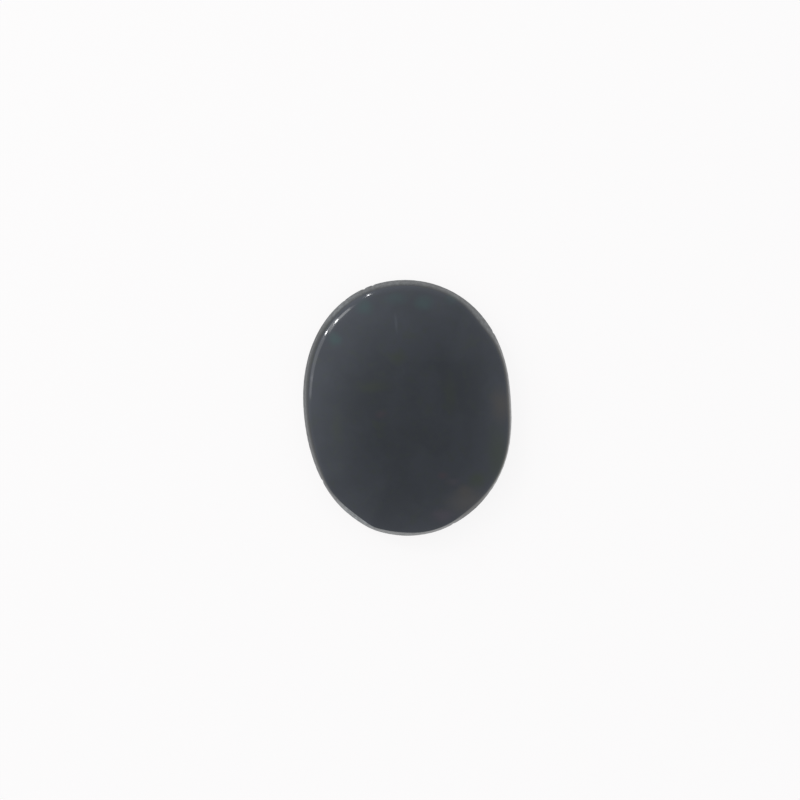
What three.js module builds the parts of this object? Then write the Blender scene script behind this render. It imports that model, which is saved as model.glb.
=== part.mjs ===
// A bloodstone cabochon: one oval stone with a low polished dome, a rounded shoulder, a narrow
// wall that leans in from the girdle, a steep bevel below it and a flat back.
// Millimetres, +Z up. It lies on its back, with its long axis along Y.
// The origin is the middle of its footprint, on the surface it rests on.
import * as THREE from "three";

// Driving dimensions of the whole stone
const LENGTH = 17.0;
const WIDTH = 13.74;

// The section from the back to the top, at the mean radius of the oval
const MEAN_RADIUS = (LENGTH + WIDTH) / 4;
const BEVEL_WIDTH = 0.3;
const BEVEL_HEIGHT = 0.6;
const WALL_HEIGHT = 0.38;
const WALL_LEAN = degrees(22);
const SHOULDER_RADIUS = 0.85;
const DOME_EDGE_SLOPE = degrees(25);

// The oval seen from above: a little squarer than an ellipse, which is a power of 2
const OVAL_POWER = 2.04;
const OVAL_ASPECT = 1.2357;

// The low waves that grinding by hand left on the oval. Each has its number round the stone,
// its height, and the direction in which one of its crests lies.
const HAND_CUT_WAVES = [
  { count: 3, height: 0.037, crest: degrees(18) },
  { count: 4, height: 0.072, crest: degrees(-41.5) },
  { count: 5, height: 0.025, crest: degrees(-32) },
];

// How finely the curved faces are cut
const STEPS_ROUND = 120;
const SHOULDER_STEPS = 7;
const DOME_STEPS = 14;

const DARK_GREEN_STONE = { color: 0x262a2a, roughness: 0.14, metalness: 0 };

function degrees(angle) {
  return (angle * Math.PI) / 180;
}

// Distance from the centre to the girdle in the direction of an angle from +X.
function ovalRadius(angle) {
  const halfWidth = WIDTH / 2;
  const halfLength = halfWidth * OVAL_ASPECT;
  const across = Math.abs(Math.cos(angle) / halfWidth) ** OVAL_POWER;
  const along = Math.abs(Math.sin(angle) / halfLength) ** OVAL_POWER;
  const even = (across + along) ** (-1 / OVAL_POWER);
  const wave = ({ count, height, crest }) => height * Math.cos(count * (angle - crest));
  return even + HAND_CUT_WAVES.reduce((sum, each) => sum + wave(each), 0);
}

// Points of an arc whose angles start at the horizontal, as the shoulder and the dome use them.
function arcPoints(centre, radius, from, to, steps) {
  return new THREE.EllipseCurve(centre.x, centre.y, radius, radius, from, to).getPoints(steps);
}

// Half of the stone's section, as distance from the axis and height. The shoulder is tangent to
// the wall and to the dome, and the dome's centre lies on the axis, in line with its end.
function sectionPoints() {
  const back = new THREE.Vector2(MEAN_RADIUS - BEVEL_WIDTH, 0);
  const girdle = new THREE.Vector2(MEAN_RADIUS, BEVEL_HEIGHT);
  const wallTop = new THREE.Vector2(
    girdle.x - WALL_HEIGHT * Math.tan(WALL_LEAN),
    girdle.y + WALL_HEIGHT,
  );

  const shoulderEnd = Math.PI / 2 - DOME_EDGE_SLOPE;
  const shoulderCentre = new THREE.Vector2(
    wallTop.x - SHOULDER_RADIUS * Math.cos(WALL_LEAN),
    wallTop.y - SHOULDER_RADIUS * Math.sin(WALL_LEAN),
  );
  const shoulder = arcPoints(
    shoulderCentre, SHOULDER_RADIUS, WALL_LEAN, shoulderEnd, SHOULDER_STEPS,
  );

  const domeEdge = shoulder[shoulder.length - 1];
  const domeRadius = domeEdge.x / Math.sin(DOME_EDGE_SLOPE);
  const domeCentre = new THREE.Vector2(0, domeEdge.y - domeRadius * Math.cos(DOME_EDGE_SLOPE));
  const dome = arcPoints(domeCentre, domeRadius, shoulderEnd, Math.PI / 2, DOME_STEPS);
  const top = new THREE.Vector2(0, domeCentre.y + domeRadius);

  return [
    new THREE.Vector2(0, 0),
    back,
    girdle,
    ...shoulder,
    ...dome.slice(1, -1),
    top,
  ];
}

// Stretches a round turned stone to the oval, and brings it to its exact length and width.
function stretchToOval(geometry) {
  const place = geometry.attributes.position;
  for (let i = 0; i < place.count; i += 1) {
    const angle = Math.atan2(place.getY(i), place.getX(i));
    const stretch = ovalRadius(angle) / MEAN_RADIUS;
    place.setXY(i, place.getX(i) * stretch, place.getY(i) * stretch);
  }
  geometry.computeBoundingBox();
  const box = geometry.boundingBox;
  const size = box.getSize(new THREE.Vector3());
  const middle = box.getCenter(new THREE.Vector3());
  geometry.translate(-middle.x, -middle.y, 0);
  geometry.scale(WIDTH / size.x, LENGTH / size.y, 1);
  geometry.computeVertexNormals();
  return geometry;
}

function makeCabochon() {
  const turned = new THREE.LatheGeometry(sectionPoints(), STEPS_ROUND);
  turned.rotateX(Math.PI / 2);
  const stone = new THREE.Mesh(
    stretchToOval(turned),
    new THREE.MeshStandardMaterial(DARK_GREEN_STONE),
  );
  stone.name = "cabochon";
  return stone;
}

const bloodstone = new THREE.Group();
bloodstone.add(makeCabochon());

export default bloodstone;
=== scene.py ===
# %% [markdown]
# # An oval bloodstone cabochon
#
# Bloodstone is a very dark green chalcedony, a stone of quartz crystals too small to see. This
# one was sawn from a slab, ground by hand to an oval with a low dome, and polished. It is one
# piece, so the lesson has one surface to shape and one finish to mix. Most of what the eye sees
# on a nearly black polished stone is the room that it mirrors, so the light matters as much as
# the colour.
#
# The solid model from the CAD step comes in first and stays where it is.

# %% The frame
import math

import bpy
import numpy as np
from mathutils import Matrix, Vector


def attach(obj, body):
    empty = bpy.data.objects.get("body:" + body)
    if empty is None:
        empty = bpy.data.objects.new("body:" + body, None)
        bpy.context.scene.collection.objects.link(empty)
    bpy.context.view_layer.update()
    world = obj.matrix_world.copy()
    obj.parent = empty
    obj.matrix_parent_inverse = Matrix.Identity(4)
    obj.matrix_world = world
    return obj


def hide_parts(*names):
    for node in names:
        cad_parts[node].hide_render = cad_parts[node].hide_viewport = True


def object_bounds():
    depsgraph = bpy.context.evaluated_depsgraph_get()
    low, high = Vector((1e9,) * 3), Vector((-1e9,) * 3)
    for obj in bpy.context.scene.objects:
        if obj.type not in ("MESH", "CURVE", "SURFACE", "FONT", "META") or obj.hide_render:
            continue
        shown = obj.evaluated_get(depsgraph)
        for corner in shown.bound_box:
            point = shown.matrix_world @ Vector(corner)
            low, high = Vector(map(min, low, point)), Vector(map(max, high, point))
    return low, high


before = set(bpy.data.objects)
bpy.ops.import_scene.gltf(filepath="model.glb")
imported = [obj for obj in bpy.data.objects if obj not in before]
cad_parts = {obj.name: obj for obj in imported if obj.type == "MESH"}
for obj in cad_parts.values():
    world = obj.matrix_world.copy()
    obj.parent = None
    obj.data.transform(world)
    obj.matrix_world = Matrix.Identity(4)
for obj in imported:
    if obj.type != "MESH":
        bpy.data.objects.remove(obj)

MM = 0.001
cad_lowest, cad_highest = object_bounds()
print("solid model, mm:", [round(side / MM, 3) for side in cad_highest - cad_lowest])

# %% [markdown]
# ## The view
#
# The stone was photographed nearly square on to its dome, so the camera looks down on it. It
# leans seven degrees to the upper left, which is why more of the stone's wall shows on that
# side. The oval's long axis leans to the left in the picture. The camera could be turned by
# three angles found by trial, but it is simpler to write down the picture's own right and up
# directions on the table and to build the camera's axes from them.

# %% The camera
PICTURE_PX = 800
PX_PER_MM = 15.13
STONE_MIDDLE_PX = (407.8, 408.6)
OVAL_LEAN = math.radians(4.24)
CAMERA_TILT = math.radians(6.9)
CAMERA_TILT_TOWARDS = math.radians(126)
LENS_MM = 85
SENSOR_MM = 36
GIRDLE_HEIGHT = 0.6 * MM

picture_right = Vector((math.cos(OVAL_LEAN), -math.sin(OVAL_LEAN), 0))
picture_up = Vector((math.sin(OVAL_LEAN), math.cos(OVAL_LEAN), 0))


def towards(angle, elevation):
    """Unit direction for an angle in the picture, anticlockwise from its right, and a height."""
    flat = picture_right * math.cos(angle) + picture_up * math.sin(angle)
    return flat * math.cos(elevation) + Vector((0, 0, math.sin(elevation)))


def photographer_camera():
    """A camera on the tilted axis, far enough away for the picture's scale."""
    frame_width = PICTURE_PX / PX_PER_MM * MM
    distance = frame_width * LENS_MM / SENSOR_MM
    right_px = STONE_MIDDLE_PX[0] - PICTURE_PX / 2
    down_px = STONE_MIDDLE_PX[1] - PICTURE_PX / 2
    aim = Vector((0, 0, GIRDLE_HEIGHT))
    aim += (picture_up * down_px - picture_right * right_px) * (MM / PX_PER_MM)
    back = towards(CAMERA_TILT_TOWARDS, math.pi / 2 - CAMERA_TILT)
    right = picture_up.cross(back).normalized()
    up = back.cross(right)
    data = bpy.data.cameras.new("stone_camera")
    data.lens = LENS_MM
    data.sensor_width = SENSOR_MM
    data.clip_start = 1 * MM
    camera = bpy.data.objects.new("stone_camera", data)
    camera.matrix_world = (
        Matrix.Translation(aim + back * distance) @ Matrix((right, up, back)).transposed().to_4x4()
    )
    bpy.context.collection.objects.link(camera)
    return camera


bpy.context.scene.camera = photographer_camera()
print("camera height, mm:", round(bpy.context.scene.camera.location.z / MM, 1))

# %% [markdown]
# ## Node helper and colours
#
# Every finish below is a small graph of shader nodes. One helper adds a node, sets it up and
# wires it, and one function turns the hex colours that a picture program shows into the linear
# light that the renderer works in.

# %% Adding nodes and reading colours
# Places of the colour sockets on the mix node, whose names are not unique
MIX_FACTOR, MIX_A, MIX_B, MIX_RESULT = 0, 6, 7, 2


def add_node(tree, kind, inputs=None, **settings):
    """Adds one node. Each input is given a value, or the output of another node to link to."""
    node = tree.nodes.new(kind)
    for name, value in settings.items():
        setattr(node, name, value)
    for name, value in (inputs or {}).items():
        if isinstance(value, bpy.types.NodeSocket):
            tree.links.new(value, node.inputs[name])
        else:
            node.inputs[name].default_value = value
    return node


def linear(hex_colour):
    """Linear red, green, blue and alpha of an sRGB colour such as "1b211f". The constants are
    those of the sRGB standard."""
    srgb = np.array([int(hex_colour[place:place + 2], 16) for place in (0, 2, 4)]) / 255
    light = np.where(srgb <= 0.04045, srgb / 12.92, ((srgb + 0.055) / 1.055) ** 2.4)
    return (*light.tolist(), 1.0)


print("mid grey in linear light:", round(linear("808080")[0], 3))

# %% [markdown]
# ## The light
#
# A polished dome is a mirror that shows the whole room. This stone's middle is its darkest part
# and its upper left the palest, so the room is darker straight above the stone, where someone
# bends over it, and brightest low on the upper left. A painted sky sphere or a photograph of a
# room could do this. Here the sky is a formula of the direction alone: a soft dark cap and a
# rise in brightness to one side. That keeps the light plain and soft, and needs no file.

# %% The soft room light
ROOM_COLOUR = linear("e8efff")
ROOM_BRIGHTNESS = 0.97
CAP_BRIGHTNESS = 0.53
CAP_DIRECTION = towards(math.radians(-53), math.radians(81.3))
CAP_INNER_COSINE = 0.955
CAP_OUTER_COSINE = 0.523
BRIGHT_SIDE_DIRECTION = towards(math.radians(131), math.radians(-1))
BRIGHT_SIDE_GAIN = 0.66


def light_room():
    """World light by direction: the room, dimmed in the cap, plus a rise to the bright side."""
    world = bpy.data.worlds.new("soft_room")
    bpy.context.scene.world = world
    world.use_nodes = True
    tree = world.node_tree
    tree.nodes.clear()
    direction = add_node(tree, "ShaderNodeTexCoord").outputs["Generated"]
    nearness = add_node(tree, "ShaderNodeVectorMath", {0: direction, 1: CAP_DIRECTION},
                        operation="DOT_PRODUCT").outputs["Value"]
    cap = add_node(tree, "ShaderNodeMapRange", {
        "Value": nearness,
        "From Min": CAP_OUTER_COSINE,
        "From Max": CAP_INNER_COSINE,
        "To Min": ROOM_BRIGHTNESS,
        "To Max": CAP_BRIGHTNESS,
    }, interpolation_type="SMOOTHSTEP").outputs["Result"]
    side = add_node(tree, "ShaderNodeVectorMath", {0: direction, 1: BRIGHT_SIDE_DIRECTION},
                    operation="DOT_PRODUCT").outputs["Value"]
    rise = add_node(tree, "ShaderNodeMapRange", {"Value": side, "To Max": BRIGHT_SIDE_GAIN})
    strength = add_node(tree, "ShaderNodeMath", {0: cap, 1: rise.outputs["Result"]},
                        operation="ADD")
    background = add_node(tree, "ShaderNodeBackground",
                          {"Color": ROOM_COLOUR, "Strength": strength.outputs["Value"]})
    add_node(tree, "ShaderNodeOutputWorld", {"Surface": background.outputs["Background"]})


light_room()
print("room brightness, straight above and all round:", CAP_BRIGHTNESS, ROOM_BRIGHTNESS)

# %% [markdown]
# ## The window and the lamps
#
# The bright line along the stone's shoulder at the upper left is a window, seen in a curve of
# less than a millimetre, and the white points on it are small lamps. Bright paint on the stone
# would stay put when the view turns, and a real highlight moves, so these are real lights: soft
# panels that face the stone. They are hidden from the camera itself, as lights outside the
# picture are.

# %% The window and the lamps
LIGHT_DISTANCE = 0.3

# Each light: its angle in the picture and its height above the table, in degrees, then its
# width and height in metres, and its brightness
SHOULDER_LIGHTS = {
    "window_pane": (132.5, 35, 0.042, 0.085, 3.5),
    "window_edge": (126.0, 36, 0.020, 0.065, 0.9),
    "window_side": (143.4, 28, 0.048, 0.150, 2.3),
    "window_reveal": (165.0, 22, 0.115, 0.135, 1.0),
    "window_corner": (179.8, 22, 0.046, 0.120, 1.3),
    "lamp_left": (150.2, 19, 0.008, 0.042, 60.0),
    "lamp_middle": (140.4, 31.5, 0.009, 0.045, 60.0),
    "lamp_top": (111.2, 18.5, 0.0065, 0.038, 60.0),
}


def place_light(name, angle, elevation, width, height, radiance):
    """A rectangular panel that faces the stone. Its power is radiance times area times pi."""
    data = bpy.data.lights.new(name, "AREA")
    data.shape = "RECTANGLE"
    data.size = width
    data.size_y = height
    data.energy = radiance * width * height * math.pi
    light = bpy.data.objects.new(name, data)
    away = towards(math.radians(angle), math.radians(elevation))
    light.location = away * LIGHT_DISTANCE
    light.rotation_euler = away.to_track_quat("Z", "Y").to_euler()
    light.visible_camera = False
    bpy.context.collection.objects.link(light)


for name, settings in SHOULDER_LIGHTS.items():
    place_light(name, *settings)
print("lights:", len(SHOULDER_LIGHTS))

# %% [markdown]
# ## The table
#
# The stone lies on a plain pale table. A white board under soft light is never as even as the
# blown-out background of a photograph. So this is a light table, a sheet of opal glass lit from
# below: most of its brightness is its own, and the stone's shadow stays faint. The same light
# brightens the rim of the stone, whose steep wall mirrors the table.

# %% The pale table
TABLE_WIDTH = 6.0
OPAL_GLASS = linear("5c5a56")
OPAL_ROUGHNESS = 0.9
TABLE_GLOW = linear("fffefe")
TABLE_GLOW_STRENGTH = 0.875


def lay_table():
    """A square sheet at the height that the stone rests on."""
    half = TABLE_WIDTH / 2
    mesh = bpy.data.meshes.new("pale_table")
    corners = [(-half, -half, 0), (half, -half, 0), (half, half, 0), (-half, half, 0)]
    mesh.from_pydata(corners, [], [(0, 1, 2, 3)])
    table = bpy.data.objects.new("pale_table", mesh)
    bpy.context.collection.objects.link(table)
    glass = bpy.data.materials.new("lit_opal_glass")
    glass.use_nodes = True
    tree = glass.node_tree
    tree.nodes.clear()
    sheet = add_node(tree, "ShaderNodeBsdfPrincipled", {
        "Base Color": OPAL_GLASS,
        "Roughness": OPAL_ROUGHNESS,
        "Specular IOR Level": 0.0,
        "Emission Color": TABLE_GLOW,
        "Emission Strength": TABLE_GLOW_STRENGTH,
    })
    add_node(tree, "ShaderNodeOutputMaterial", {"Surface": sheet.outputs["BSDF"]})
    mesh.materials.append(glass)


lay_table()
bpy.context.scene.view_settings.view_transform = "Standard"
print("table side, m:", TABLE_WIDTH)

# %% [markdown]
# ## The section of the stone
#
# Cut the stone from its middle to its edge and the cut shows five stretches: a flat back, a
# steep bevel that leads out to the girdle, a narrow wall that leans in above it, a rounded
# shoulder and the low dome. One could model half of this by hand and spin it. Written as lines
# and arcs with real sizes, each stretch can have as many rows as its curve needs, and the two
# sharp corners get the small radius that grinding leaves on them.

# %% The section
OUTLINE_LENGTH = cad_highest.y - cad_lowest.y
OUTLINE_WIDTH = cad_highest.x - cad_lowest.x
MEAN_RADIUS = (OUTLINE_LENGTH + OUTLINE_WIDTH) / 4
BEVEL_WIDTH = 0.30 * MM
BEVEL_HEIGHT = GIRDLE_HEIGHT
WALL_HEIGHT = 0.38 * MM
WALL_LEAN = math.radians(22)
SHOULDER_RADIUS = 0.85 * MM
DOME_EDGE_SLOPE = math.radians(25)
WORN_EDGE = 0.03 * MM

BACK_ROWS = 5
EDGE_ROWS = 7
BEVEL_ROWS = 8
WALL_ROWS = 8
SHOULDER_ROWS = 30
DOME_ROWS = 46


def line(start, end, rows):
    """Points evenly spaced from start up to, but not including, end."""
    share = np.arange(rows)[:, None] / rows
    return start + (end - start) * share


def arc(centre, radius, first, last, rows):
    """Points of an arc from the angle first up to, but not including, the angle last."""
    angle = first + (last - first) * np.arange(rows) / rows
    return centre + radius * np.stack([np.cos(angle), np.sin(angle)], axis=1)


def worn_corner(before, corner, after, size, rows):
    """A corner rounded off: a parabola between the points at a distance size along both sides."""
    start = corner + (before - corner) / np.linalg.norm(before - corner) * size
    end = corner + (after - corner) / np.linalg.norm(after - corner) * size
    share = np.arange(rows)[:, None] / (rows - 1)
    return start * (1 - share) ** 2 + corner * 2 * share * (1 - share) + end * share ** 2


def unworn_corner(centre, radius, first, last, rows):
    """The two tangents of an arc at its ends, met in a corner, with as many points as it has."""
    middle = (first + last) / 2
    reach = radius / math.cos((last - first) / 2)
    corner = centre + reach * np.array([math.cos(middle), math.sin(middle)])
    start, end = (centre + radius * np.array([math.cos(at), math.sin(at)]) for at in (first, last))
    share = np.arange(rows) / rows
    return np.stack([np.interp(share, [0, 0.5, 1], [start[axis], corner[axis], end[axis]])
                     for axis in (0, 1)], axis=1)


def stone_section():
    """Distance from the axis and height, from the back's middle to the dome's top, with the
    row at which each stretch ends. The shoulder is an arc tangent to the wall and the dome, and
    a second section has a sharp corner in its place."""
    middle = np.array([0.0, 0.0])
    back_edge = np.array([MEAN_RADIUS - BEVEL_WIDTH, 0.0])
    girdle = np.array([MEAN_RADIUS, BEVEL_HEIGHT])
    wall_top = girdle + WALL_HEIGHT * np.array([-math.tan(WALL_LEAN), 1.0])
    wall_normal = np.array([math.cos(WALL_LEAN), math.sin(WALL_LEAN)])
    shoulder_centre = wall_top - SHOULDER_RADIUS * wall_normal
    shoulder_end = math.pi / 2 - DOME_EDGE_SLOPE
    dome_edge = shoulder_centre + SHOULDER_RADIUS * np.array(
        [math.cos(shoulder_end), math.sin(shoulder_end)])
    dome_radius = dome_edge[0] / math.sin(DOME_EDGE_SLOPE)
    dome_centre = np.array([0.0, dome_edge[1] - dome_radius * math.cos(DOME_EDGE_SLOPE)])
    worn_back = worn_corner(middle, back_edge, girdle, WORN_EDGE, EDGE_ROWS)
    worn_girdle = worn_corner(back_edge, girdle, wall_top, WORN_EDGE, EDGE_ROWS)
    stretches = [
        line(middle, worn_back[0], BACK_ROWS)[1:],
        worn_back,
        line(worn_back[-1], worn_girdle[0], BEVEL_ROWS)[1:],
        worn_girdle,
        line(worn_girdle[-1], wall_top, WALL_ROWS)[1:],
        arc(shoulder_centre, SHOULDER_RADIUS, WALL_LEAN, shoulder_end, SHOULDER_ROWS),
        arc(dome_centre, dome_radius, shoulder_end, math.pi / 2, DOME_ROWS),
    ]
    ends = np.cumsum([len(stretch) for stretch in stretches])
    top = np.array([0.0, dome_centre[1] + dome_radius])
    rounded = np.concatenate(stretches)
    stretches[-2] = unworn_corner(
        shoulder_centre, SHOULDER_RADIUS, WALL_LEAN, shoulder_end, SHOULDER_ROWS)
    return rounded, np.concatenate(stretches), ends, top


section, sharp_section, stretch_ends, dome_top = stone_section()
print("section rows:", len(section), "height, mm:", round(dome_top[1] / MM, 3))

# %% [markdown]
# ## The oval
#
# Seen from above the stone is an oval that was ground by eye. A plain ellipse would be too
# perfect. The radius is that of an oval a little squarer than an ellipse, plus three low
# waves of a few hundredths of a millimetre, which is how far a hand strays from the template.

# %% The oval's radius
OVAL_POWER = 2.04
OVAL_ASPECT = 1.2357

# Each wave: how many crests go round the stone, its height, and where one crest lies
HAND_CUT_WAVES = (
    (3, 0.037 * MM, math.radians(18)),
    (4, 0.072 * MM, math.radians(-41.5)),
    (5, 0.025 * MM, math.radians(-32)),
)


def oval_radius(angle):
    """Distance from the middle to the girdle: a superellipse with the hand-cut waves added."""
    half_width = OUTLINE_WIDTH / 2
    half_length = half_width * OVAL_ASPECT
    across = np.abs(np.cos(angle) / half_width) ** OVAL_POWER
    along = np.abs(np.sin(angle) / half_length) ** OVAL_POWER
    radius = (across + along) ** (-1 / OVAL_POWER)
    for crests, height, crest in HAND_CUT_WAVES:
        radius = radius + height * np.cos(crests * (angle - crest))
    return radius


across_and_along = oval_radius(np.array([0.0, math.pi / 2]))
print("radius across and along the oval, mm:", (across_and_along / MM).round(3).tolist())

# %% [markdown]
# ## The uneven wall
#
# On a hand-cut stone the wall is never the same all round. On this one the band of wall and
# shoulder is widest at the upper right and lower left, and narrow at the lower right. Along the
# lower left the shoulder was hardly rounded, so the wall ends there in an edge, and at the
# upper right and the lower right the wall leans in more. One could push points about by hand.
# Here bell curves over the angle say how wide the wall and the shoulder are, how far the wall
# leans and how sharp the shoulder is. The girdle dips or climbs to meet the wall, so the dome
# above stays true.

# %% The wall and the shoulder round the stone
# One wave round the stone: how much wider the band gets, as a share, and where it is widest
BAND_SWING = 0.10
BAND_CREST = math.radians(100)

# Each stretch: how much wider its wall and its shoulder are, as shares, its place and half width
UNEVEN_BAND = (
    (-0.38, -0.10, math.radians(17), math.radians(14)),
    (0.20, 0.10, math.radians(45), math.radians(10)),
    (-0.42, 0.19, math.radians(135), math.radians(24)),
    (-0.25, -0.20, math.radians(220), math.radians(8)),
    (0.24, 0.24, math.radians(239), math.radians(8)),
    (-0.14, -0.14, math.radians(249), math.radians(4)),
    (0.12, 0.12, math.radians(260), math.radians(6)),
    (-0.10, -0.10, math.radians(281), math.radians(11)),
    (-0.09, -0.10, math.radians(300), math.radians(8)),
    (-0.25, -0.15, math.radians(325), math.radians(20)),
)

# Each stretch where the wall leans otherwise: the added slope, its place and its half width
UNEVEN_LEAN = (
    (0.17, math.radians(45), math.radians(11)),
    (0.03, math.radians(266), math.radians(5)),
    (0.19, math.radians(299), math.radians(10)),
    (-0.08, math.radians(328), math.radians(18)),
)

# The sharp stretch of the shoulder: how sharp it gets, its place and its half width
SHARP_SHOULDER = (0.85, math.radians(264), math.radians(43))
FLAT_TOP_POWER = 4


def bell(angle, most, place, half_width, power=2):
    """A bell curve of the angle round the stone. A higher power gives it a flatter top."""
    off = np.angle(np.exp(1j * (angle - place)))
    return most * np.exp(-np.abs(off / half_width) ** power)


def band_shares(angle):
    """Sizes of the wall and of the shoulder, as shares of the section's: one wave for both, and
    the stretches."""
    wave = 1 + BAND_SWING * np.cos(angle - BAND_CREST)
    wall = sum(bell(angle, wider, *where) for wider, _, *where in UNEVEN_BAND)
    shoulder = sum(bell(angle, wider, *where) for _, wider, *where in UNEVEN_BAND)
    return wave + wall, wave + shoulder


def sharpness(angle):
    """How sharp the shoulder is, from 0 to 1: a bell with a flat top along the lower left."""
    return bell(angle, *SHARP_SHOULDER, power=FLAT_TOP_POWER)


def in_band(angle, reach, height):
    """A point of the wall or the shoulder, moved. Its inset from the girdle and its drop from
    the dome are each a stretch of wall plus a stretch of shoulder, scaled by their own shares.
    The lean then adds its slope times the height above the girdle to the inset."""
    top_reach, top_height = section[stretch_ends[-3]]
    edge_reach, edge_height = section[stretch_ends[-2]]
    wall, shoulder = band_shares(angle)
    lean = sum(bell(angle, *stretch) for stretch in UNEVEN_LEAN)
    inset = wall * np.clip(MEAN_RADIUS - reach, 0, MEAN_RADIUS - top_reach)
    inset = inset + shoulder * np.clip(top_reach - reach, 0, top_reach - edge_reach)
    drop = wall * np.clip(top_height - height, 0, top_height - BEVEL_HEIGHT)
    drop = drop + shoulder * np.clip(edge_height - height, 0, edge_height - top_height)
    girdle = edge_height - wall * (top_height - BEVEL_HEIGHT)
    girdle = girdle - shoulder * (edge_height - top_height)
    new_height = edge_height - drop
    return MEAN_RADIUS - inset - lean * (new_height - girdle), new_height


def uneven_section(angle, reach, height):
    """The section's grid with its band reshaped by the angle. Below the girdle the heights are
    scaled to meet it, and the dome's reach is scaled to meet the shoulder."""
    edge_reach, edge_height = section[stretch_ends[-2]]
    new_edge_reach, _ = in_band(angle, edge_reach, edge_height)
    _, girdle = in_band(angle, MEAN_RADIUS, BEVEL_HEIGHT)
    band_reach, band_height = in_band(angle, reach, height)
    below = height < BEVEL_HEIGHT
    dome = height >= edge_height
    new_reach = np.where(dome, reach * new_edge_reach / edge_reach, band_reach)
    new_reach = np.where(below, reach, new_reach)
    new_height = np.where(dome, height, band_height)
    new_height = np.where(below, height * girdle / BEVEL_HEIGHT, new_height)
    return new_reach, new_height


wall_shares, _ = band_shares(np.linspace(0, 2 * math.pi, 360))
print("narrowest and widest wall, as shares:", wall_shares.min().round(2), wall_shares.max().round(2))

# %% [markdown]
# ## The surface
#
# The stone is one grid. Going across it turns round the axis, and going up it follows the
# section, so two parameters give every point. Three things make it a hand-finished stone. The
# dome has undulations of a few thousandths of a millimetre, which bend what it mirrors. The
# wall has the finer ripple of the grinding wheel, which breaks its pale reflection into
# mottles. And the girdle has tiny nicks where it was knocked. Bump mapping could fake the
# first two, but here they are real: waves added to the whole arrays at once.

# %% Undulations of the polish, ripple of the wheel and nicks in the girdle
POLISH_SEED = 7
POLISH_WAVES = 14
POLISH_WAVE_LENGTHS = (2.2 * MM, 5.5 * MM)
POLISH_WAVE_HEIGHT = 0.0016 * MM
RIPPLE_SEED = 3
RIPPLE_WAVES = 16
RIPPLE_WAVE_LENGTHS = (0.3 * MM, 1.1 * MM)
RIPPLE_WAVE_HEIGHT = 0.0014 * MM

# Over what distance from the grid's seam the ripple comes in
SEAM_REACH = 0.4 * MM

# Each nick: its angle round the stone, its half width along the edge and its depth
GIRDLE_NICKS = (
    (math.radians(101.6), 0.06 * MM, 0.040 * MM),
    (math.radians(105.9), 0.08 * MM, 0.045 * MM),
    (math.radians(116.0), 0.07 * MM, 0.025 * MM),
    (math.radians(216.0), 0.10 * MM, 0.035 * MM),
    (math.radians(287), 0.08 * MM, 0.030 * MM),
    (math.radians(37), 0.07 * MM, 0.025 * MM),
)
NICK_REACH = 0.12 * MM


def summed_waves(u, v, seed, count, lengths, wave_height):
    """Sum of low sine waves over two coordinates, in many directions and lengths."""
    dice = np.random.default_rng(seed)
    height = np.zeros_like(u)
    for _ in range(count):
        heading = dice.uniform(0, 2 * math.pi)
        length = dice.uniform(*lengths)
        phase = dice.uniform(0, 2 * math.pi)
        along = u * math.cos(heading) + v * math.sin(heading)
        height = height + wave_height * np.sin(2 * math.pi * along / length + phase)
    return height


def polish_undulation(x, y):
    """The unevenness that hand polishing leaves on the dome."""
    return summed_waves(x, y, POLISH_SEED, POLISH_WAVES, POLISH_WAVE_LENGTHS,
                        POLISH_WAVE_HEIGHT)


def wheel_ripple(angle, height):
    """The ripple of the grinding wheel: waves along the girdle and up the wall, faded out above
    the wall and below the girdle. They would not meet where the grid closes, so they fade out
    there too."""
    waves = summed_waves(angle * MEAN_RADIUS, height, RIPPLE_SEED, RIPPLE_WAVES,
                         RIPPLE_WAVE_LENGTHS, RIPPLE_WAVE_HEIGHT)
    middle = BEVEL_HEIGHT + WALL_HEIGHT / 2
    from_seam = np.angle(np.exp(1j * angle)) * MEAN_RADIUS
    calm = 1 - np.exp(-(from_seam / SEAM_REACH) ** 2)
    on_wall = np.exp(-((height - middle) / (WALL_HEIGHT / 2)) ** FLAT_TOP_POWER)
    return waves * calm * on_wall


def nick_depth(angle, height):
    """How far the edge is knocked in: a bell curve along the girdle times one up the wall."""
    depth = np.zeros_like(angle)
    up = np.exp(-((height - BEVEL_HEIGHT) / NICK_REACH) ** 2)
    for place, half_width, deepest in GIRDLE_NICKS:
        off = np.angle(np.exp(1j * (angle - place))) * MEAN_RADIUS
        depth = depth + deepest * np.exp(-(off / half_width) ** 2) * up
    return depth


print("nicks:", len(GIRDLE_NICKS))

# %% [markdown]
# ## The grid of points
#
# Everything so far comes together here. The section gives each row its distance and height, the
# uneven wall bends them, and the oval's radius stretches them. The outline is then fitted to
# the solid's box, and only after that the waves and nicks are taken off, as a wheel takes
# stone off. Done in this order, the stone stays within a few thousandths of a millimetre of the
# solid's size.

# %% The grid of points
COLUMNS = 900


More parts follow.
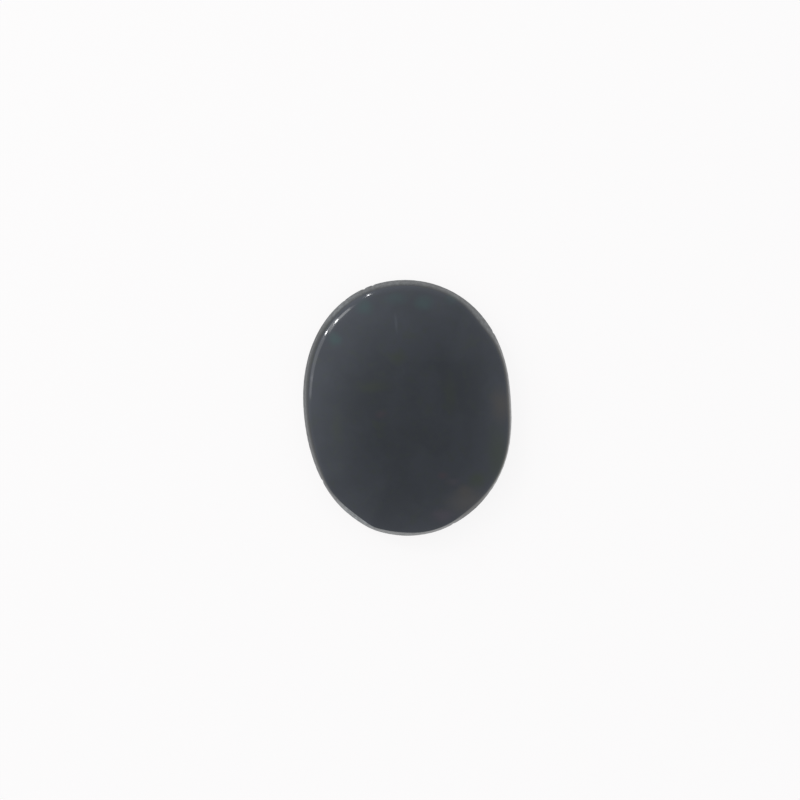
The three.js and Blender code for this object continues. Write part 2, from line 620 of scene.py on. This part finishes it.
def stone_points():
    """Grid of points, rows by columns, fitted to the solid's box."""
    angle = np.linspace(0, 2 * math.pi, COLUMNS, endpoint=False)
    sharp = sharpness(angle)
    reach = np.outer(section[:, 0], 1 - sharp) + np.outer(sharp_section[:, 0], sharp)
    section_height = np.outer(section[:, 1], 1 - sharp) + np.outer(sharp_section[:, 1], sharp)
    angle = np.broadcast_to(angle, reach.shape)
    reach, height = uneven_section(angle, reach, section_height)
    radius = reach * oval_radius(angle) / MEAN_RADIUS
    x = radius * np.cos(angle)
    y = radius * np.sin(angle)
    for axis, place in enumerate((x, y)):
        low, high = place.min(), place.max()
        share = (place - low) / (high - low)
        place[:] = cad_lowest[axis] + (cad_highest[axis] - cad_lowest[axis]) * share
    pull = nick_depth(angle, section_height) + wheel_ripple(angle, section_height)
    x = x - pull * np.cos(angle)
    y = y - pull * np.sin(angle)
    above_wall = section_height - BEVEL_HEIGHT - WALL_HEIGHT
    on_dome = np.clip(above_wall / SHOULDER_RADIUS, 0, 1) ** 2
    height = height + polish_undulation(x, y) * on_dome
    return np.stack([x, y, height], axis=-1)


stone_grid = stone_points()
print("grid:", stone_grid.shape[0], "rows by", stone_grid.shape[1], "columns")

# %% [markdown]
# ## The mesh
#
# The rows run round the stone and close on themselves, and the two ends are closed with a fan
# to one point each. The result is one skin without a gap, as a real stone has. A spin modifier
# could turn the section too, but only into a round stone, and this one is oval and uneven.

# %% The mesh
def closed_mesh(name, grid, bottom, top):
    """One closed skin: quads between the rows, and a fan of triangles to each pole."""
    rows, columns = grid.shape[:2]
    points = np.concatenate([grid.reshape(-1, 3), [bottom], [top]])
    here = np.arange(rows * columns).reshape(rows, columns)
    beside = np.roll(here, -1, axis=1)
    quads = np.stack([here[:-1], beside[:-1], beside[1:], here[1:]], axis=-1).reshape(-1, 4)
    bottom_pole = np.full(columns, rows * columns)
    bottom_fan = np.stack([bottom_pole, beside[0], here[0]], axis=-1)
    top_fan = np.stack([bottom_pole + 1, here[-1], beside[-1]], axis=-1)
    mesh = bpy.data.meshes.new(name)
    mesh.from_pydata(points.tolist(), [], quads.tolist() + bottom_fan.tolist() + top_fan.tolist())
    mesh.polygons.foreach_set("use_smooth", np.ones(len(mesh.polygons), dtype=bool))
    mesh.update()
    return mesh


top_height = dome_top[1] + polish_undulation(np.zeros(1), np.zeros(1))[0]
top_point = [stone_grid[-1, :, 0].mean(), stone_grid[-1, :, 1].mean(), top_height]
back_point = [stone_grid[0, :, 0].mean(), stone_grid[0, :, 1].mean(), 0.0]
stone_mesh = closed_mesh("bloodstone", stone_grid, back_point, top_point)
stone = bpy.data.objects.new("bloodstone", stone_mesh)
bpy.context.collection.objects.link(stone)
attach(stone, "root")
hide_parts("cabochon")
print("faces:", len(stone_mesh.polygons))

# %% [markdown]
# ## How finely each part was finished
#
# The dome and shoulder were polished to a mirror, the wall was ground fine and only brushed by
# the polishing wheel, least of all along the lower left, and the back was left as the lap cut
# it. Stone that is only ground scatters light at its surface, so it looks paler and duller.
# Each point carries its own polish value, which the finish reads. Three materials would leave
# hard borders between them, which a real stone doesn't have.

# %% The polish of each point
GROUND_POLISH = 0.75
WALL_POLISH = 0.95

# Where the mirror starts on a rounded and on a sharp shoulder, as shares of the shoulder, and
# over how much of an edge's rows it fades in
ROUNDED_START, ROUNDED_FADE = 0.2, 1.1
SHARP_START, SHARP_FADE = 0.5, 0.1

# Each stretch of duller wall: how much polish it lacks, its place and its half width
DULL_WALL = (
    (0.24, math.radians(45), math.radians(13)),
    (0.15, math.radians(92), math.radians(22)),
    (0.24, math.radians(121), math.radians(10)),
    (0.72, math.radians(239), math.radians(11)),
    (0.27, math.radians(260), math.radians(16)),
)


def polish_values():
    """One polish value per point. Up the section it steps from the ground back and bevel to the
    wall, and then to the mirror of the dome: part of the way up a round shoulder, or at the edge
    of a sharp one. Round the stone the wall's own polish varies."""
    rows = np.arange(len(section))[:, None]
    angle = np.linspace(0, 2 * math.pi, COLUMNS, endpoint=False)
    bevel_end, _, wall_end = stretch_ends[2:5]
    wall = WALL_POLISH - sum(bell(angle, *stretch) for stretch in DULL_WALL)
    sharp = sharpness(angle) / SHARP_SHOULDER[0]
    start_share = ROUNDED_START * (1 - sharp) + SHARP_START * sharp
    mirror_start = wall_end + SHOULDER_ROWS * start_share
    mirror_fade = EDGE_ROWS * (ROUNDED_FADE * (1 - sharp) + SHARP_FADE * sharp)
    on_wall = np.clip((rows - bevel_end) / EDGE_ROWS, 0, 1)
    on_dome = np.clip((rows - mirror_start) / mirror_fade, 0, 1)
    by_point = GROUND_POLISH + (wall - GROUND_POLISH) * on_wall
    by_point = by_point + (1 - by_point) * on_dome
    return np.concatenate([by_point.ravel(), [GROUND_POLISH, 1.0]])


polish = stone_mesh.attributes.new("polish", "FLOAT", "POINT")
polish.data.foreach_set("value", polish_values())
print("least polish:", polish_values().min().round(2))

# %% [markdown]
# ## The finish: polished chalcedony
#
# Chalcedony is opaque here and almost black: dense chlorite and hornblende needles colour it
# green, and iron oxide adds rust-brown patches and dark red flecks. The colour is weak under
# the polish, so the eye sees a slate grey mirror with faint clouds. Its index of refraction is
# 1.54. The pattern runs through the whole stone, so it is a solid texture on object
# coordinates, in millimetres: clouds 3 mm wide, a moss grain of under half a millimetre, soft
# patches where this stone has them, and a painted teal glow along the lit upper edge that stands
# in for light let into the stone. A picture wrapped round it would smear on the wall.

# %% Colours and sizes of the pattern
CHALCEDONY_DEEP = linear("252728")
CHALCEDONY_PALE = linear("2b2d2f")
MOSS_GREEN = linear("292f1f")
OLIVE_GREEN = linear("2a2e23")
# Painted glow: the stone's green lifted as if light from the upper left shone into its top edge
PAINTED_TEAL_GLOW = linear("263733")
RUST_BROWN = linear("3b362d")
RUST_GREY = linear("3d3932")
RUST_PURPLE = linear("3a3336")
DARK_RED = linear("342b2c")
PALE_QUARTZ = linear("393c3d")
GROUND_GREY = linear("8c8f8c")

CHALCEDONY_IOR = 1.54
GROUND_ROUGHNESS = 0.55
POLISHED_ROUGHNESS = 0.1

# Each pattern: how many features it has in a millimetre, then the noise values at which it
# starts and is full, and how strong it gets
CLOUDS_PER_MM = 0.3
CLOUDS_START, CLOUDS_FULL = 0.36, 0.66
MOSS_PER_MM = 2.3
MOSS_START, MOSS_FULL, MOSS_STRENGTH = 0.5, 0.75, 0.3
OLIVE_PER_MM = 0.9
OLIVE_START, OLIVE_FULL, OLIVE_STRENGTH = 0.6, 0.72, 0.4
MOTTLES_PER_MM = 4.5
MOTTLES_START, MOTTLES_FULL = 0.35, 0.65
MOTTLES_LEAST, MOTTLES_MOST = 0.4, 1.2
NOISE_MIDDLE = (0.5, 0.5, 0.5)

# The warp of the clouds and patches: how many swirls in a millimetre, and how far they reach
WARP_PER_MM = 0.9
WARP_MM = 0.6

# The lap's scratches: how fine they are across and along, which way they run in radians, their
# strength and depth, and the height above the back at which they end
SCRATCHES_PER_MM = (8.0, 0.35, 1.0)
SCRATCH_HEADING = 0.6
SCRATCH_STRENGTH = 0.35
SCRATCH_DEPTH = 0.01 * MM
LAPPED_HEIGHT_MM = 0.05

mirrored_share = ((CHALCEDONY_IOR - 1) / (CHALCEDONY_IOR + 1)) ** 2
print("share of light mirrored square on:", round(mirrored_share, 3))

# %% [markdown]
# ## One soft patch
#
# A patch of moss or rust is a cluster of grains inside the stone that thins out at its edge. It
# could be painted on the surface, but then it would have no depth at the wall. Here it is a soft
# ellipsoid in the stone's own space, and the stone's colour is mixed towards the patch's by how
# near its middle a point lies. The teal patches along the top edge are made the same way, but
# they are painted glow in the stone's green: light let in at its lit upper edge.

# %% The patches
# A patch has its full strength within the first share of its half sizes, and ends at the second
PATCH_FULL, PATCH_END = 0.1, 1.5

# Each patch: its colour, its middle, its half sizes along x, y and z in millimetres, its strength
PATCHES = {
    "moss on the right edge": (MOSS_GREEN, (5.7, -3.5, 1.5), (0.75, 2.0, 2.5), 0.9),
    "moss at the lower right": (MOSS_GREEN, (4.2, -5.0, 1.5), (0.65, 0.6, 2.0), 1.0),
    "rust on the right edge": (RUST_BROWN, (6.1, -0.2, 1.6), (0.7, 1.1, 2.0), 0.9),
    "rust at the lower right": (RUST_GREY, (3.4, -6.4, 1.5), (1.3, 0.9, 2.0), 0.9),
    "brown above that rust": (RUST_BROWN, (3.3, -5.65, 1.6), (0.5, 0.5, 2.0), 0.8),
    "purple rust at the bottom": (RUST_PURPLE, (1.7, -7.2, 1.5), (0.8, 0.5, 2.0), 0.8),
    # These five teal patches are painted glow, not stone colour: light let in at the lit upper edge,
    # in the stone's green
    "painted teal glow at the upper left": (PAINTED_TEAL_GLOW, (-4.52, 5.0, 1.6), (0.45, 0.45, 2.0), 1.0),
    "painted teal glow below the top": (PAINTED_TEAL_GLOW, (-2.43, 6.94, 1.6), (0.55, 0.5, 2.0), 0.85),
    "painted teal glow at the top": (PAINTED_TEAL_GLOW, (1.5, 6.95, 1.7), (0.6, 0.45, 2.0), 0.75),
    "painted teal glow at the upper right": (PAINTED_TEAL_GLOW, (3.4, 7.05, 1.2), (0.5, 0.35, 2.0), 0.5),
    "painted teal glow near the hairline": (PAINTED_TEAL_GLOW, (-0.35, 7.35, 1.6), (0.75, 0.4, 2.0), 0.55),
    "olive spot above the middle": (OLIVE_GREEN, (-0.5, 3.6, 2.7), (0.55, 0.5, 1.0), 0.9),
    "olive spot left of it": (OLIVE_GREEN, (-2.3, 1.9, 2.7), (1.2, 0.4, 1.0), 0.8),
    "olive spot on the right": (OLIVE_GREEN, (2.7, 1.0, 2.7), (0.4, 1.2, 1.0), 0.6),
    "olive spot on the left": (OLIVE_GREEN, (-4.8, -0.7, 2.1), (0.4, 1.2, 1.0), 0.6),
    "red fleck left of the middle": (DARK_RED, (-1.9, 0.0, 2.9), (0.35, 0.3, 0.8), 0.6),
    "purple at the lower right": (RUST_PURPLE, (2.5, -4.95, 2.2), (0.5, 0.35, 0.8), 0.5),
    "red fleck beside the purple": (DARK_RED, (1.85, -4.4, 2.4), (0.35, 0.3, 0.8), 0.9),
}
QUARTZ_HAIRLINE = (PALE_QUARTZ, (-0.46, 5.8, 2.2), (0.10, 0.6, 0.8), 0.7)


def lay_patch(tree, place, colour, patch_colour, middle, half_sizes, strength):
    """Mixes one soft patch over a colour: full in the middle of an ellipsoid, none beyond it."""
    away = add_node(tree, "ShaderNodeVectorMath", {0: place, 1: middle}, operation="SUBTRACT")
    scaled = add_node(tree, "ShaderNodeVectorMath", {0: away.outputs["Vector"], 1: half_sizes},
                      operation="DIVIDE")
    distance = add_node(tree, "ShaderNodeVectorMath", {0: scaled.outputs["Vector"]},
                        operation="LENGTH").outputs["Value"]
    cover = add_node(tree, "ShaderNodeMapRange", {
        "Value": distance,
        "From Min": PATCH_END,
        "From Max": PATCH_FULL,
        "To Min": 0.0,
        "To Max": strength,
    }, interpolation_type="SMOOTHSTEP").outputs["Result"]
    mixed = add_node(tree, "ShaderNodeMix",
                     {MIX_FACTOR: cover, MIX_A: colour, MIX_B: patch_colour}, data_type="RGBA")
    return mixed.outputs[MIX_RESULT]


print("patches:", len(PATCHES))

# %% [markdown]
# ## The whole finish
#
# The layers are mixed in the order in which they lie in the stone: clouds, moss, olive spots,
# patches and the hairline of quartz. What the tools did comes last: the pale mottles and the
# duller shine where the stone was only ground, and the lap's scratches on the back. They are
# far finer on a real stone, and are drawn coarse enough to show.

# %% The polished chalcedony
def polished_chalcedony():
    """The stone's whole finish, from the clouds up to the scratches of the lap on the back."""
    material = bpy.data.materials.new("polished_chalcedony")
    material.use_nodes = True
    tree = material.node_tree
    tree.nodes.clear()
    coordinates = add_node(tree, "ShaderNodeTexCoord").outputs["Object"]
    in_mm = add_node(tree, "ShaderNodeMapping",
                     {"Vector": coordinates, "Scale": (1 / MM, 1 / MM, 1 / MM)}).outputs["Vector"]

    # The warp that makes the patches' borders ragged
    swirl = add_node(tree, "ShaderNodeTexNoise",
                     {"Vector": in_mm, "Scale": WARP_PER_MM, "Detail": 3.0}).outputs["Color"]
    swirl = add_node(tree, "ShaderNodeVectorMath", {0: swirl, 1: NOISE_MIDDLE},
                     operation="SUBTRACT").outputs["Vector"]
    swirl = add_node(tree, "ShaderNodeVectorMath", {0: swirl, "Scale": WARP_MM},
                     operation="SCALE").outputs["Vector"]
    warped = add_node(tree, "ShaderNodeVectorMath", {0: in_mm, 1: swirl},
                      operation="ADD").outputs["Vector"]

    # Clouds of paler and deeper stone
    clouds = add_node(tree, "ShaderNodeTexNoise", {
        "Vector": warped, "Scale": CLOUDS_PER_MM, "Detail": 4.0, "Roughness": 0.55,
    }).outputs["Fac"]
    cloud_share = add_node(tree, "ShaderNodeMapRange", {
        "Value": clouds, "From Min": CLOUDS_START, "From Max": CLOUDS_FULL,
    }, interpolation_type="SMOOTHSTEP").outputs["Result"]
    colour = add_node(tree, "ShaderNodeMix", {
        MIX_FACTOR: cloud_share, MIX_A: CHALCEDONY_DEEP, MIX_B: CHALCEDONY_PALE,
    }, data_type="RGBA").outputs[MIX_RESULT]

    # A fine moss grain, and faint olive spots that gather here and there
    moss = add_node(tree, "ShaderNodeTexNoise", {
        "Vector": in_mm, "Scale": MOSS_PER_MM, "Detail": 2.0,
    }).outputs["Fac"]
    moss_share = add_node(tree, "ShaderNodeMapRange", {
        "Value": moss, "From Min": MOSS_START, "From Max": MOSS_FULL, "To Max": MOSS_STRENGTH,
    }).outputs["Result"]
    colour = add_node(tree, "ShaderNodeMix", {
        MIX_FACTOR: moss_share, MIX_A: colour, MIX_B: MOSS_GREEN,
    }, data_type="RGBA").outputs[MIX_RESULT]
    olive = add_node(tree, "ShaderNodeTexNoise", {
        "Vector": warped, "Scale": OLIVE_PER_MM, "Detail": 2.0,
    }).outputs["Fac"]
    olive_share = add_node(tree, "ShaderNodeMapRange", {
        "Value": olive, "From Min": OLIVE_START, "From Max": OLIVE_FULL, "To Max": OLIVE_STRENGTH,
    }, interpolation_type="SMOOTHSTEP").outputs["Result"]
    colour = add_node(tree, "ShaderNodeMix", {
        MIX_FACTOR: olive_share, MIX_A: colour, MIX_B: OLIVE_GREEN,
    }, data_type="RGBA").outputs[MIX_RESULT]
    for patch_colour, middle, half_sizes, strength in PATCHES.values():
        colour = lay_patch(tree, warped, colour, patch_colour, middle, half_sizes, strength)
    colour = lay_patch(tree, in_mm, colour, *QUARTZ_HAIRLINE)

    # Roughness from the polish of each point
    polish_share = add_node(tree, "ShaderNodeAttribute", attribute_name="polish").outputs["Fac"]
    roughness = add_node(tree, "ShaderNodeMapRange", {
        "Value": polish_share, "To Min": GROUND_ROUGHNESS, "To Max": POLISHED_ROUGHNESS,
    }).outputs["Result"]

    # Stone that is only ground looks paler, in mottles
    unpolished = add_node(tree, "ShaderNodeMath", {0: 1.0, 1: polish_share},
                          operation="SUBTRACT").outputs["Value"]
    mottles = add_node(tree, "ShaderNodeTexNoise", {
        "Vector": in_mm, "Scale": MOTTLES_PER_MM, "Detail": 3.0, "Roughness": 0.6,
    }).outputs["Fac"]
    mottle_share = add_node(tree, "ShaderNodeMapRange", {
        "Value": mottles, "From Min": MOTTLES_START, "From Max": MOTTLES_FULL,
        "To Min": MOTTLES_LEAST, "To Max": MOTTLES_MOST,
    }).outputs["Result"]
    ground_share = add_node(tree, "ShaderNodeMath", {0: unpolished, 1: mottle_share},
                            operation="MULTIPLY").outputs["Value"]
    colour = add_node(tree, "ShaderNodeMix", {
        MIX_FACTOR: ground_share, MIX_A: colour, MIX_B: GROUND_GREY,
    }, data_type="RGBA").outputs[MIX_RESULT]

    # Lapping scratches, straight and close together, only on the flat back
    stretched = add_node(tree, "ShaderNodeMapping", {
        "Vector": in_mm, "Rotation": (0.0, 0.0, SCRATCH_HEADING), "Scale": SCRATCHES_PER_MM,
    }).outputs["Vector"]
    scratches = add_node(tree, "ShaderNodeTexNoise", {
        "Vector": stretched, "Scale": 1.0, "Detail": 3.0,
    }).outputs["Fac"]
    height_in_mm = add_node(tree, "ShaderNodeSeparateXYZ", {"Vector": in_mm}).outputs["Z"]
    scratch_strength = add_node(tree, "ShaderNodeMapRange", {
        "Value": height_in_mm, "From Max": LAPPED_HEIGHT_MM,
        "To Min": SCRATCH_STRENGTH, "To Max": 0.0,
    }).outputs["Result"]
    bump = add_node(tree, "ShaderNodeBump", {
        "Height": scratches, "Strength": scratch_strength, "Distance": SCRATCH_DEPTH,
    }).outputs["Normal"]
    shader = add_node(tree, "ShaderNodeBsdfPrincipled", {
        "Base Color": colour,
        "Roughness": roughness,
        "IOR": CHALCEDONY_IOR,
        "Normal": bump,
    })
    add_node(tree, "ShaderNodeOutputMaterial", {"Surface": shader.outputs["BSDF"]})
    return material


stone_mesh.materials.append(polished_chalcedony())
print("nodes in the finish:", len(stone_mesh.materials[0].node_tree.nodes))
